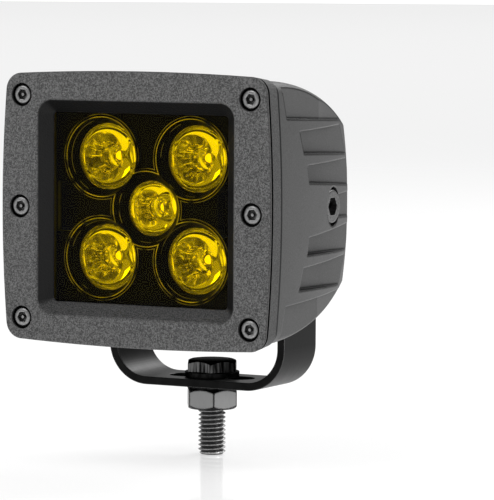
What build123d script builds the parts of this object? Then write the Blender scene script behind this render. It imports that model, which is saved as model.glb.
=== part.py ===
from build123d import *
import os

os.makedirs("parts", exist_ok=True)

# Square LED fog light on a slotted U bracket and an M8 stud.
# Row frame, millimetres: the lamp faces -Y, +X is its right-hand side seen from the front, +Z is up.
# The origin is on the stud axis at the underside of the clamping nut.
# "Depth" is counted from the bezel's front face, towards the back.

# ---------------------------------------------------------------- overall sizes
FACE_WIDTH = 86.6
FACE_HEIGHT = 78.0
LAMP_DEPTH = 63.3
PIVOT_DEPTH = 47.0
PIVOT_HEIGHT = 60.6

# ---------------------------------------------------------------- clearances
CLAMP_GAP = 0.10
RUNNING_FIT = 0.06
THREAD_FIT = 0.02
BODY_GAP = 0.40
CUT_PAST = 2.0

# ---------------------------------------------------------------- bezel
BEZEL_DEPTH = 8.5
SIDE_BULGE = 1.7
TOP_BULGE = 1.2
FACE_CORNER_R = 5.0
BEZEL_DRAFT = 0.9
FACE_EDGE_ROUND = 0.5
GROOVE_DEPTH_FROM_FACE = 1.0
GROOVE_WIDTH = 1.1
GROOVE_CUT = 0.7
PARTING_GROOVE_WIDTH = 0.6
PARTING_GROOVE_CUT = 0.8
BORDER_SIDE = 11.2
BORDER_TOP = 8.0
WINDOW_CORNER_R = 5.0
BEVEL_RUN = 4.0
OPENING_CORNER_R = 1.2
LEDGE_DEPTH = 3.8

# ---------------------------------------------------------------- lens, gasket and optics
LENS_THICK = 3.0
LENS_OVERLAP = 4.2
LENS_GAP = 0.3
LENS_CORNER_R = 4.0
GASKET_LAND = 2.1
TRAY_GAP = 0.35
TRAY_PLATE_SINK = 1.2
TRAY_RIM_SINK = 0.3
TRAY_PLATE_THICK = 4.4
TRAY_SKIRT = 1.4
RIM_WALL = 0.9
OPTIC_SPREAD = 0.25
CORNER_CUP_SHARE = 0.196
CENTRE_CUP_SHARE = 0.185
CORNER_OPTIC_SHARE = 0.166
CENTRE_OPTIC_SHARE = 0.138
CUP_SLOPE_DEPTH = 3.9
OPTIC_WELL_SHARE = 0.45
OPTIC_WELL_FLARE = 1.15
OPTIC_WELL_DEPTH_SHARE = 0.4
OPTIC_WELL_CROWN = 0.75
FLANGE_THICK = 1.3
SIDE_RELIEF_DEPTH = 3.0
OPTIC_FOOT_R = 3.6
LED_CAVITY_R = 2.75
LED_CAVITY_DEPTH = 3.2
LED_CAVITY_TIP_SHARE = 0.85
LED_CAVITY_WALL = 2.56

# ---------------------------------------------------------------- boards
PLATE_POCKET_FLOOR = 21.0
LED_BOARD_THICK = 1.6
PAD_THICK = 0.4
LED_PACKAGE = 3.5
LED_PACKAGE_THICK = 0.7
LED_DOME_R = 1.3
DRIVER_POCKET_WIDTH = 22.0
DRIVER_POCKET_HEIGHT = 42.0
DRIVER_POCKET_DEPTH = 10.0
DRIVER_WALL = 2.5
DRIVER_BOARD_MARGIN = 0.8
BOARD_SCREW_R = 1.25
BOARD_SCREW_HEAD_R = 2.4
BOARD_SCREW_HEAD_H = 1.6
BOARD_SCREW_REACH = 3.6
BOARD_SCREW_INSET = 4.2

# ---------------------------------------------------------------- housing
HOUSING_REVEAL = 0.35
TAIL_TAPER = 7.3
TAIL_HALF_HEIGHT = 24.8
SKIN_SAG = 1.75
CROWN_SAG = 3.0
TAIL_CORNER_R = 2.0
TAIL_EDGE_ROUND = 1.4
FLOOR_THICK = 5.5
WALL = 2.6
FIN_THICK = 2.0
FINS_PER_SIDE = 3
FIN_TO_ARM = 1.2
SHOULDER_STEP = 2.1
POCKET_BACK_STEP = 0.35

# ---------------------------------------------------------------- bezel screws (M3, pin-in-hex)
SCREW_R = 1.5
SCREW_HEAD_R = 2.75
SCREW_HEAD_H = 1.8
SCREW_SINK = 0.35
SCREW_POCKET_R = 3.35
SCREW_REACH = 7.0
SCREW_INSET_SIDE = 6.6
SCREW_INSET_MIDDLE = 6.0
SCREW_INSET_TOP = 7.2
SCREW_SOCKET_R = 1.55
SCREW_SOCKET_DEPTH = 1.2
SCREW_PIN_R = 0.5

# ---------------------------------------------------------------- bracket and tilt bolts (M6)
STRAP_WIDTH = 20.0
STRAP_THICK = 2.3
STRAP_BEND_R = 10.0
SLOT_LENGTH = 27.5
PIVOT_BOLT_R = 3.0
PIVOT_HEAD_R = 4.9
PIVOT_HEAD_H = 4.0
PIVOT_HEAD_SINK = 0.2
PIVOT_RECESS_R = 5.7
PIVOT_SOCKET_R = 2.9
PIVOT_SOCKET_DEPTH = 2.6
PIVOT_WASHER_R = 6.2
PIVOT_WASHER_THICK = 1.0
BOSS_PROUD = 3.3
BOSS_R = 7.0
FIN_BOSS_R = 5.5

# ---------------------------------------------------------------- stud hardware (M8)
STUD_R = 4.0
STUD_SLOT_PLAY = 0.4
HEX_FLATS = 14.0
HEAD_TURN = -4.0
NUT_TURN = 2.0
HEAD_THICK = 3.5
FLAT_WASHER_R = 8.0
FLAT_WASHER_THICK = 1.5
LOCK_WASHER_R = 7.3
LOCK_WASHER_THICK = 0.8
LOCK_WASHER_NOTCHES = 14
LOCK_WASHER_NOTCH_R = 0.6
NUT_THICK = 6.1
STUD_FREE_LENGTH = 13.5
STUD_TIP_CHAMFER = 0.7
ROOT_RING_R = 3.4
ROOT_RING_LENGTH = 0.8
NUT_MOUTH_CHAMFER = 0.6
HEX_CORNER_TRIM = 0.35

# ---------------------------------------------------------------- cable gland
GLAND_DROP = 12.0
GLAND_BOSS_R = 6.0
GLAND_BOSS_LENGTH = 3.5
GLAND_BORE_R = 4.0
GLAND_FLATS = 11.6
GLAND_NUT_LENGTH = 6.0
GLAND_SPIGOT = 5.0
GLAND_HOLE_R = 2.9
GLAND_SEAL_HOLE_R = 2.2
GLAND_SEAL_LENGTH = 3.0
GLAND_CLEARING = 9.0
GLAND_BOARD_GAP = 1.0

# ---------------------------------------------------------------- driver board parts
INDUCTOR_R = 4.2
INDUCTOR_H = 4.5
INDUCTOR_UP = 12.0
INDUCTOR_RING_OUT = 0.8
INDUCTOR_RING_IN = 0.6
CAPACITOR_R = 2.5
CAPACITOR_H = 5.4
CAPACITOR_ACROSS = 5.5
CAPACITOR_UP = 2.5
CHIP_WIDTH = 5.0
CHIP_HEIGHT = 6.0
CHIP_THICK = 1.6
LINK_PIN_R = 0.5
LINK_PIN_PITCH = 5.0
LINK_PIN_INSET = 2.0

# ---------------------------------------------------------------- positions that follow from the sizes
FACE_Y = -PIVOT_DEPTH
TAIL_HALF_WIDTH = FACE_WIDTH / 2 - TAIL_TAPER
WALL_IN = TAIL_HALF_WIDTH - WALL
ARM_OUT = WALL_IN - BOSS_PROUD - PIVOT_WASHER_THICK - 2 * CLAMP_GAP
ARM_IN = ARM_OUT - STRAP_THICK
LAST_FIN_OUT = ARM_IN - FIN_TO_ARM
FIN_PITCH = (LAST_FIN_OUT - FIN_THICK / 2) / FINS_PER_SIDE
FLOOR_BACK = PLATE_POCKET_FLOOR + FLOOR_THICK

WINDOW_WIDTH = FACE_WIDTH - 2 * BORDER_SIDE
WINDOW_HEIGHT = FACE_HEIGHT - 2 * BORDER_TOP
OPENING_WIDTH = WINDOW_WIDTH - 2 * BEVEL_RUN
OPENING_HEIGHT = WINDOW_HEIGHT - 2 * BEVEL_RUN
LENS_WIDTH = OPENING_WIDTH + 2 * LENS_OVERLAP
LENS_HEIGHT = OPENING_HEIGHT + 2 * LENS_OVERLAP
LENS_BACK = LEDGE_DEPTH + LENS_THICK
POCKET_WIDTH = LENS_WIDTH - 2 * GASKET_LAND
POCKET_HEIGHT = LENS_HEIGHT - 2 * GASKET_LAND
TRAY_WIDTH = POCKET_WIDTH - 2 * TRAY_GAP
TRAY_HEIGHT = POCKET_HEIGHT - 2 * TRAY_GAP
TRAY_CORNER_R = LENS_CORNER_R - GASKET_LAND + TRAY_GAP

BOARD_FRONT = PLATE_POCKET_FLOOR - PAD_THICK - LED_BOARD_THICK
BOARD_BACK = PLATE_POCKET_FLOOR - PAD_THICK
RIM_FRONT = LENS_BACK + TRAY_RIM_SINK
PLATE_FRONT = LENS_BACK + TRAY_PLATE_SINK
OPTIC_FRONT = RIM_FRONT + CUP_SLOPE_DEPTH
PLATE_BACK = PLATE_FRONT + TRAY_PLATE_THICK

TRAY_SIZE = min(TRAY_WIDTH, TRAY_HEIGHT)
OPTIC_X = TRAY_WIDTH * OPTIC_SPREAD - BODY_GAP
OPTIC_Z = TRAY_HEIGHT * OPTIC_SPREAD
CORNER_CUP_R = TRAY_SIZE * CORNER_CUP_SHARE
CENTRE_CUP_R = TRAY_SIZE * CENTRE_CUP_SHARE
CORNER_OPTIC_R = TRAY_SIZE * CORNER_OPTIC_SHARE
CENTRE_OPTIC_R = TRAY_SIZE * CENTRE_OPTIC_SHARE
# name, across, up, optic radius, cup rim radius
OPTIC_PLACES = [
    ("top_left", -OPTIC_X, OPTIC_Z, CORNER_OPTIC_R, CORNER_CUP_R),
    ("top_right", OPTIC_X, OPTIC_Z, CORNER_OPTIC_R, CORNER_CUP_R),
    ("bottom_left", -OPTIC_X, -OPTIC_Z, CORNER_OPTIC_R, CORNER_CUP_R),
    ("bottom_right", OPTIC_X, -OPTIC_Z, CORNER_OPTIC_R, CORNER_CUP_R),
    ("centre", 0, 0, CENTRE_OPTIC_R, CENTRE_CUP_R),
]
SCREW_X = FACE_WIDTH / 2 - SCREW_INSET_SIDE
SCREW_MIDDLE_X = FACE_WIDTH / 2 - SCREW_INSET_MIDDLE
SCREW_Z = FACE_HEIGHT / 2 - SCREW_INSET_TOP
SCREW_POINTS = [
    (-SCREW_X, SCREW_Z),
    (SCREW_X, SCREW_Z),
    (-SCREW_MIDDLE_X, 0),
    (SCREW_MIDDLE_X, 0),
    (-SCREW_X, -SCREW_Z),
    (SCREW_X, -SCREW_Z),
]
BOARD_SCREW_POINTS = [
    (-(TRAY_WIDTH / 2 - BOARD_SCREW_INSET), 0),
    (TRAY_WIDTH / 2 - BOARD_SCREW_INSET, 0),
    (0, TRAY_HEIGHT / 2 - BOARD_SCREW_INSET),
    (0, -(TRAY_HEIGHT / 2 - BOARD_SCREW_INSET)),
]
DRIVER_FLOOR = PLATE_POCKET_FLOOR + DRIVER_POCKET_DEPTH
DRIVER_BACK = DRIVER_FLOOR + DRIVER_WALL
STRAP_UNDER = NUT_THICK + LOCK_WASHER_THICK + CLAMP_GAP
STRAP_TOP = STRAP_UNDER + STRAP_THICK
WASHER_UNDER = STRAP_TOP + CLAMP_GAP
HEAD_UNDER = WASHER_UNDER + FLAT_WASHER_THICK + CLAMP_GAP
HEX_R = HEX_FLATS / 3**0.5


def at_depth(depth):
    """Plane across the lamp: local x runs right, local y runs up, the normal points forwards."""
    return Plane(origin=(0, FACE_Y + depth, PIVOT_HEIGHT), x_dir=(1, 0, 0), z_dir=(0, -1, 0))


def at_side(across):
    """Plane along the lamp: local x runs back, local y runs up from the tilt axis."""
    return Plane(origin=(across, 0, PIVOT_HEIGHT), x_dir=(0, 1, 0), z_dir=(1, 0, 0))


def at_height(height):
    """Level plane, with local x to the right and local y to the back."""
    return Plane(origin=(0, 0, height), x_dir=(1, 0, 0), z_dir=(0, 0, 1))


def bulged_outline(half_w, half_h, corner_r):
    """Square outline whose four sides bow outwards, given by its half width and half height."""
    corner_x = half_w - SIDE_BULGE
    corner_z = half_h - TOP_BULGE
    with BuildSketch() as outline:
        with BuildLine():
            ThreePointArc((-corner_x, -corner_z), (0, -half_h), (corner_x, -corner_z))
            ThreePointArc((corner_x, -corner_z), (half_w, 0), (corner_x, corner_z))
            ThreePointArc((corner_x, corner_z), (0, half_h), (-corner_x, corner_z))
            ThreePointArc((-corner_x, corner_z), (-half_w, 0), (-corner_x, -corner_z))
        make_face()
        fillet(outline.vertices(), radius=corner_r)
    return outline.sketch


def face_outline(grow):
    """The bezel's front outline, grown or shrunk all round."""
    return bulged_outline(FACE_WIDTH / 2 + grow, FACE_HEIGHT / 2 + grow, FACE_CORNER_R + grow)


def wedge_pocket(front_low, front_high, back_low, back_high, front_depths, front_step, back_step, floor_bow):
    """Tapered pocket sunk into the curved side skin and open at the back, for the right-hand side."""
    front_y_low = FACE_Y + front_depths[0]
    front_y_high = FACE_Y + front_depths[1]
    back_y = FACE_Y + LAMP_DEPTH + CUT_PAST
    middle_y = (min(front_y_low, front_y_high) + back_y) / 2
    floor_front = skin_x(min(front_depths)) - front_step
    floor_back = TAIL_HALF_WIDTH - back_step
    floor_middle = (floor_front + floor_back) / 2 + floor_bow
    far_x = FACE_WIDTH
    with BuildPart() as tool:
        with BuildSketch(at_side(0)):
            Polygon(
                (front_y_low, front_low),
                (back_y, back_low),
                (back_y, back_high),
                (front_y_high, front_high),
                align=None,
            )
        extrude(amount=far_x)
        with BuildSketch(at_height(PIVOT_HEIGHT)):
            Polygon(
                (floor_front, min(front_y_low, front_y_high)),
                (far_x, min(front_y_low, front_y_high)),
                (far_x, back_y),
                (floor_back, back_y),
                (floor_middle, middle_y),
                align=None,
            )
        extrude(amount=FACE_HEIGHT, both=True, mode=Mode.INTERSECT)
    return tool.part


def skin_x(depth):
    """Half width of the curved side skin at a depth, on the circle through its three design points."""
    share = (depth - BEZEL_DEPTH) / (LAMP_DEPTH - BEZEL_DEPTH)
    chord = REAR_HALF_WIDTH + (TAIL_HALF_WIDTH - REAR_HALF_WIDTH) * share
    return chord + SKIN_SAG * 4 * share * (1 - share)


REAR_HALF_WIDTH = FACE_WIDTH / 2 - BEZEL_DRAFT - HOUSING_REVEAL
FRONT_OUTLINE = face_outline(0)
REAR_OUTLINE = face_outline(-BEZEL_DRAFT)
GROOVE_OUTLINE = face_outline(-GROOVE_CUT)
OUTSIDE_OUTLINE = face_outline(CUT_PAST)
PARTING_OUTLINE = face_outline(-(BEZEL_DRAFT + PARTING_GROOVE_CUT))

# ---------------------------------------------------------------- bezel
with BuildPart() as bezel:
    with BuildSketch(at_depth(0)):
        add(FRONT_OUTLINE)
    with BuildSketch(at_depth(BEZEL_DEPTH)):
        add(REAR_OUTLINE)
    loft()
    fillet(bezel.edges().group_by(Axis.Y)[0], radius=FACE_EDGE_ROUND)
    with BuildSketch(at_depth(GROOVE_DEPTH_FROM_FACE)):
        add(OUTSIDE_OUTLINE)
        add(GROOVE_OUTLINE, mode=Mode.SUBTRACT)
    extrude(amount=-GROOVE_WIDTH, mode=Mode.SUBTRACT)
    with BuildSketch(at_depth(BEZEL_DEPTH - PARTING_GROOVE_WIDTH)):
        add(OUTSIDE_OUTLINE)
        add(PARTING_OUTLINE, mode=Mode.SUBTRACT)
    extrude(amount=-PARTING_GROOVE_WIDTH, mode=Mode.SUBTRACT)
    with BuildSketch(at_depth(0)):
        RectangleRounded(WINDOW_WIDTH, WINDOW_HEIGHT, WINDOW_CORNER_R)
    with BuildSketch(at_depth(LEDGE_DEPTH)):
        RectangleRounded(OPENING_WIDTH, OPENING_HEIGHT, OPENING_CORNER_R)
    loft(mode=Mode.SUBTRACT)
    with BuildSketch(at_depth(LEDGE_DEPTH)):
        RectangleRounded(LENS_WIDTH + 2 * LENS_GAP, LENS_HEIGHT + 2 * LENS_GAP, LENS_CORNER_R + LENS_GAP)
    extrude(amount=-BEZEL_DEPTH, mode=Mode.SUBTRACT)
    with BuildSketch(at_depth(0)):
        with Locations(*SCREW_POINTS):
            Circle(SCREW_POCKET_R)
    extrude(amount=-(SCREW_SINK + SCREW_HEAD_H), mode=Mode.SUBTRACT)
    with BuildSketch(at_depth(0)):
        with Locations(*SCREW_POINTS):
            Circle(SCREW_R + 2 * CLAMP_GAP)
    extrude(amount=-BEZEL_DEPTH, mode=Mode.SUBTRACT)
bezel.part.label = "bezel"
export_step(bezel.part, "parts/bezel.step")

# ---------------------------------------------------------------- bezel screws, one group
with BuildPart() as bezel_screws:
    with BuildSketch(at_depth(SCREW_SINK)):
        with Locations(*SCREW_POINTS):
            Circle(SCREW_HEAD_R)
    extrude(amount=-SCREW_HEAD_H)
    fillet(bezel_screws.edges().group_by(Axis.Y)[0], radius=SCREW_HEAD_R / 6)
    with BuildSketch(at_depth(SCREW_SINK + SCREW_HEAD_H)):
        with Locations(*SCREW_POINTS):
            Circle(SCREW_R)
    extrude(amount=-(BEZEL_DEPTH - SCREW_SINK - SCREW_HEAD_H + SCREW_REACH))
    with BuildSketch(at_depth(SCREW_SINK)):
        with Locations(*SCREW_POINTS):
            RegularPolygon(SCREW_SOCKET_R, 6)
            Circle(SCREW_PIN_R, mode=Mode.SUBTRACT)
    extrude(amount=-SCREW_SOCKET_DEPTH, mode=Mode.SUBTRACT)
bezel_screws.part.label = "bezel_screws"
export_step(bezel_screws.part, "parts/bezel_screws.step")

# ---------------------------------------------------------------- lens and its gasket
with BuildPart() as lens:
    with BuildSketch(at_depth(LEDGE_DEPTH)):
        RectangleRounded(LENS_WIDTH, LENS_HEIGHT, LENS_CORNER_R)
    extrude(amount=-LENS_THICK)
lens.part.label = "lens"
export_step(lens.part, "parts/lens.step")

with BuildPart() as lens_gasket:
    with BuildSketch(at_depth(LENS_BACK)):
        RectangleRounded(LENS_WIDTH, LENS_HEIGHT, LENS_CORNER_R)
        RectangleRounded(
            POCKET_WIDTH,
            POCKET_HEIGHT,
            LENS_CORNER_R - GASKET_LAND,
            mode=Mode.SUBTRACT,
        )
    extrude(amount=-(BEZEL_DEPTH - LENS_BACK))
lens_gasket.part.label = "lens_gasket"
export_step(lens_gasket.part, "parts/lens_gasket.step")

# ---------------------------------------------------------------- optic tray with five overlapping cups
with BuildPart() as optic_tray:
    with BuildSketch(at_depth(PLATE_FRONT)):
        RectangleRounded(TRAY_WIDTH, TRAY_HEIGHT, TRAY_CORNER_R)
    extrude(amount=-TRAY_PLATE_THICK)
    with BuildSketch(at_depth(PLATE_BACK)):
        RectangleRounded(TRAY_WIDTH, TRAY_HEIGHT, TRAY_CORNER_R)
        Rectangle(TRAY_WIDTH - 2 * TRAY_SKIRT, TRAY_HEIGHT - 2 * TRAY_SKIRT, mode=Mode.SUBTRACT)
    extrude(amount=-(BOARD_FRONT - PLATE_BACK))
    with BuildSketch(at_depth(PLATE_FRONT)):
        with Locations((-TRAY_WIDTH / 2, 0), (TRAY_WIDTH / 2, 0)):
            Rectangle(OPTIC_X, OPTIC_Z)
    extrude(amount=-SIDE_RELIEF_DEPTH, mode=Mode.SUBTRACT)
    for name, across, up, optic_r, cup_r in OPTIC_PLACES:
        with BuildSketch(at_depth(RIM_FRONT)):
            with Locations((across, up)):
                Circle(cup_r + RIM_WALL)
        extrude(amount=-(PLATE_BACK - RIM_FRONT))
    with BuildSketch(at_depth(RIM_FRONT)):
        Rectangle(2 * TRAY_WIDTH, 2 * TRAY_HEIGHT)
        RectangleRounded(TRAY_WIDTH, TRAY_HEIGHT, TRAY_CORNER_R, mode=Mode.SUBTRACT)
    extrude(amount=-(BOARD_FRONT - RIM_FRONT), mode=Mode.SUBTRACT)
    for name, across, up, optic_r, cup_r in OPTIC_PLACES:
        with BuildSketch(at_depth(RIM_FRONT)):
            with Locations((across, up)):
                Circle(cup_r)
        with BuildSketch(at_depth(OPTIC_FRONT)):
            with Locations((across, up)):
                Circle(optic_r - CLAMP_GAP)
        loft(mode=Mode.SUBTRACT)
        with BuildSketch(at_depth(OPTIC_FRONT)):
            with Locations((across, up)):
                Circle(optic_r + CLAMP_GAP)
        extrude(amount=-(PLATE_BACK - OPTIC_FRONT), mode=Mode.SUBTRACT)
optic_tray.part.label = "optic_tray"
export_step(optic_tray.part, "parts/optic_tray.step")

# ---------------------------------------------------------------- five moulded optics
for name, across, up, optic_r, cup_r in OPTIC_PLACES:
    centre = (across, FACE_Y, PIVOT_HEIGHT + up)
    well_r = OPTIC_WELL_SHARE * optic_r
    well_depth = OPTIC_WELL_DEPTH_SHARE * (BOARD_FRONT - OPTIC_FRONT)
    waist_r = (optic_r + OPTIC_FOOT_R) / 2 + FLANGE_THICK / 2
    waist_depth = (OPTIC_FRONT + BOARD_FRONT) / 2
    with BuildPart() as optic:
        with BuildSketch(Plane(origin=centre, x_dir=(1, 0, 0), z_dir=(0, 0, 1))):
            with BuildLine():
                Polyline(
                    (0, OPTIC_FRONT + OPTIC_WELL_CROWN * well_depth),
                    (well_r, OPTIC_FRONT + well_depth),
                    (OPTIC_WELL_FLARE * well_r, OPTIC_FRONT),
                    (optic_r, OPTIC_FRONT),
                    (optic_r, OPTIC_FRONT + FLANGE_THICK),
                    (optic_r - FLANGE_THICK / 2, OPTIC_FRONT + FLANGE_THICK),
                )
                ThreePointArc(
                    (optic_r - FLANGE_THICK / 2, OPTIC_FRONT + FLANGE_THICK),
                    (waist_r, waist_depth),
                    (OPTIC_FOOT_R, BOARD_FRONT),
                )
                Polyline(
                    (OPTIC_FOOT_R, BOARD_FRONT),
                    (LED_CAVITY_R, BOARD_FRONT),
                    (LED_CAVITY_TIP_SHARE * LED_CAVITY_R, BOARD_FRONT - LED_CAVITY_WALL),
                    (0, BOARD_FRONT - LED_CAVITY_DEPTH),
                    (0, OPTIC_FRONT + OPTIC_WELL_CROWN * well_depth),
                )
            make_face()
        revolve(axis=Axis(centre, (0, 1, 0)))
    optic.part.label = "optic_" + name
    export_step(optic.part, "parts/optic_" + name + ".step")

# ---------------------------------------------------------------- five LEDs
for name, across, up, optic_r, cup_r in OPTIC_PLACES:
    with BuildPart() as led:
        with BuildSketch(at_depth(BOARD_FRONT)):
            with Locations((across, up)):
                Rectangle(LED_PACKAGE, LED_PACKAGE)
        extrude(amount=LED_PACKAGE_THICK)
        with Locations((across, FACE_Y + BOARD_FRONT - LED_PACKAGE_THICK, PIVOT_HEIGHT + up)):
            Sphere(LED_DOME_R)
        with BuildSketch(at_depth(BOARD_FRONT)):
            with Locations((across, up)):
                Rectangle(2 * LED_PACKAGE, 2 * LED_PACKAGE)
        extrude(amount=-2 * LED_DOME_R, mode=Mode.SUBTRACT)
    led.part.label = "led_" + name
    export_step(led.part, "parts/led_" + name + ".step")

# ---------------------------------------------------------------- LED board, thermal pad and their screws
with BuildPart() as led_board:
    with BuildSketch(at_depth(BOARD_FRONT)):
        RectangleRounded(TRAY_WIDTH, TRAY_HEIGHT, TRAY_CORNER_R)
        with Locations(*BOARD_SCREW_POINTS):
            Circle(BOARD_SCREW_R + CLAMP_GAP, mode=Mode.SUBTRACT)
    extrude(amount=-LED_BOARD_THICK)
led_board.part.label = "led_board"
export_step(led_board.part, "parts/led_board.step")

with BuildPart() as thermal_pad:
    with BuildSketch(at_depth(BOARD_BACK)):
        RectangleRounded(TRAY_WIDTH, TRAY_HEIGHT, TRAY_CORNER_R)
        Rectangle(DRIVER_POCKET_WIDTH, DRIVER_POCKET_HEIGHT, mode=Mode.SUBTRACT)
        with Locations(*BOARD_SCREW_POINTS):
            Circle(BOARD_SCREW_R + CLAMP_GAP, mode=Mode.SUBTRACT)
    extrude(amount=-PAD_THICK)
thermal_pad.part.label = "thermal_pad"
export_step(thermal_pad.part, "parts/thermal_pad.step")

with BuildPart() as led_board_screws:
    with BuildSketch(at_depth(BOARD_FRONT)):
        with Locations(*BOARD_SCREW_POINTS):
            Circle(BOARD_SCREW_HEAD_R)
    extrude(amount=BOARD_SCREW_HEAD_H)
    with BuildSketch(at_depth(BOARD_FRONT)):
        with Locations(*BOARD_SCREW_POINTS):
            Circle(BOARD_SCREW_R)
    extrude(amount=-(PLATE_POCKET_FLOOR - BOARD_FRONT + BOARD_SCREW_REACH))
    with BuildSketch(at_depth(BOARD_FRONT - BOARD_SCREW_HEAD_H)):
        with Locations(*BOARD_SCREW_POINTS):
            RegularPolygon(BOARD_SCREW_R, 6)
    extrude(amount=-BOARD_SCREW_HEAD_H / 2, mode=Mode.SUBTRACT)
led_board_screws.part.label = "led_board_screws"
export_step(led_board_screws.part, "parts/led_board_screws.step")

# ---------------------------------------------------------------- driver board and what it carries
DRIVER_BOARD_WIDTH = DRIVER_POCKET_WIDTH - 2 * DRIVER_BOARD_MARGIN
DRIVER_BOARD_HEIGHT = DRIVER_POCKET_HEIGHT - 2 * DRIVER_BOARD_MARGIN
DRIVER_BOARD_BACK = DRIVER_FLOOR - PAD_THICK
DRIVER_BOARD_FRONT = DRIVER_BOARD_BACK - LED_BOARD_THICK
GLAND_BOARD_CLEAR = GLAND_BORE_R + GLAND_BOARD_GAP

with BuildPart() as driver_pad:
    with BuildSketch(at_depth(DRIVER_BOARD_BACK)):
        with Locations((0, DRIVER_BOARD_HEIGHT / 4)):
            Rectangle(DRIVER_BOARD_WIDTH, DRIVER_BOARD_HEIGHT / 2)
    extrude(amount=-PAD_THICK)
driver_pad.part.label = "driver_pad"
export_step(driver_pad.part, "parts/driver_pad.step")

with BuildPart() as driver_board:
    with BuildSketch(at_depth(DRIVER_BOARD_FRONT)):
        Rectangle(DRIVER_BOARD_WIDTH, DRIVER_BOARD_HEIGHT)
        with Locations((0, -GLAND_DROP)):
            Circle(GLAND_BOARD_CLEAR, mode=Mode.SUBTRACT)
    extrude(amount=-LED_BOARD_THICK)
driver_board.part.label = "driver_board"
export_step(driver_board.part, "parts/driver_board.step")

with BuildPart() as driver_inductor:
    with BuildSketch(at_depth(DRIVER_BOARD_FRONT)):
        with Locations((0, INDUCTOR_UP)):
            RectangleRounded(2 * INDUCTOR_R, 2 * INDUCTOR_R, INDUCTOR_R / 2)
    extrude(amount=INDUCTOR_H)
    with BuildSketch(at_depth(DRIVER_BOARD_FRONT - INDUCTOR_H)):
        with Locations((0, INDUCTOR_UP)):
            Circle(INDUCTOR_RING_OUT * INDUCTOR_R)
            Circle(INDUCTOR_RING_IN * INDUCTOR_R, mode=Mode.SUBTRACT)
    extrude(amount=-INDUCTOR_H / 3, mode=Mode.SUBTRACT)
driver_inductor.part.label = "driver_inductor"
export_step(driver_inductor.part, "parts/driver_inductor.step")

with BuildPart() as driver_capacitor:
    with BuildSketch(at_depth(DRIVER_BOARD_FRONT)):
        with Locations((CAPACITOR_ACROSS, CAPACITOR_UP)):
            Circle(CAPACITOR_R)
    extrude(amount=CAPACITOR_H)
    chamfer(driver_capacitor.edges().group_by(Axis.Y)[0], length=CAPACITOR_R / 8)
driver_capacitor.part.label = "driver_capacitor"
export_step(driver_capacitor.part, "parts/driver_capacitor.step")

with BuildPart() as driver_chip:
    with BuildSketch(at_depth(DRIVER_BOARD_FRONT)):
        with Locations((-CAPACITOR_ACROSS, CAPACITOR_UP)):
            Rectangle(CHIP_WIDTH, CHIP_HEIGHT)
    extrude(amount=CHIP_THICK)
driver_chip.part.label = "driver_chip"
export_step(driver_chip.part, "parts/driver_chip.step")

with BuildPart() as board_link_pins:
    with BuildSketch(at_depth(BOARD_BACK)):
        with Locations((0, DRIVER_BOARD_HEIGHT / 2 - LINK_PIN_INSET)):
            with GridLocations(LINK_PIN_PITCH, LINK_PIN_PITCH, 2, 1):
                Circle(LINK_PIN_R)
    extrude(amount=-(DRIVER_BOARD_FRONT - BOARD_BACK))
board_link_pins.part.label = "board_link_pins"
export_step(board_link_pins.part, "parts/board_link_pins.step")

# ---------------------------------------------------------------- finned housing
SHOULDER_HALF_HEIGHT = FACE_HEIGHT / 2 - BEZEL_DRAFT - HOUSING_REVEAL
MIDDLE_DEPTH = (BEZEL_DEPTH + LAMP_DEPTH) / 2
SKIN_MIDDLE = (REAR_HALF_WIDTH + TAIL_HALF_WIDTH) / 2 + SKIN_SAG
CROWN_MIDDLE = (SHOULDER_HALF_HEIGHT + TAIL_HALF_HEIGHT) / 2 + CROWN_SAG
INNER_SEAT = skin_x(PIVOT_DEPTH) - PIVOT_HEAD_SINK - PIVOT_HEAD_H
FIN_BOSS_OUT = ARM_IN - BODY_GAP
FIN_BOSS_IN = (FINS_PER_SIDE - 1) * FIN_PITCH

# wedge pockets in each side skin, with heights as shares of the tail's half height:
# low and high at the front, low and high at the back, depth where the low and high front corners start,
# front step, back step and bow of the floor
UPPER_POCKET = (0.649, 0.903, 0.585, 0.944, (24.0, 21.8), 3.6, POCKET_BACK_STEP, 0)
INNER_POCKET = (0.310, 0.512, 0.218, 0.540, (27.2, 26.4), 3.4, POCKET_BACK_STEP, 0)
MIDDLE_POCKET = (-0.129, 0.129, -0.149, 0.149, (50.0, 50.0), 1.8, POCKET_BACK_STEP, 0)
SHOULDER_POCKET = (1.056, 1.573, 0.980, 1.573, (13.6, 11.2), SHOULDER_STEP, SHOULDER_STEP, SKIN_SAG)


def scaled_pocket(sizes):
    """Cutting tool for one pocket, with its heights following the housing's tail."""
    heights = [share * TAIL_HALF_HEIGHT for share in sizes[:4]]
    return wedge_pocket(*heights, *sizes[4:])


RIGHT_POCKETS = []
for sizes in (UPPER_POCKET, INNER_POCKET, SHOULDER_POCKET):
    pocket = scaled_pocket(sizes)
    RIGHT_POCKETS.append(pocket)
    RIGHT_POCKETS.append(mirror(pocket, about=at_height(PIVOT_HEIGHT)))
RIGHT_POCKETS.append(scaled_pocket(MIDDLE_POCKET))
POCKET_TOOLS = RIGHT_POCKETS + [mirror(pocket, about=Plane.YZ) for pocket in RIGHT_POCKETS]

HOUSING_SECTIONS = [
    (BEZEL_DEPTH, bulged_outline(REAR_HALF_WIDTH, SHOULDER_HALF_HEIGHT, FACE_CORNER_R - BEZEL_DRAFT)),
    (MIDDLE_DEPTH, bulged_outline(SKIN_MIDDLE, CROWN_MIDDLE, (FACE_CORNER_R + TAIL_CORNER_R) / 2)),
    (LAMP_DEPTH, bulged_outline(TAIL_HALF_WIDTH, TAIL_HALF_HEIGHT, TAIL_CORNER_R)),
]

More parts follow.
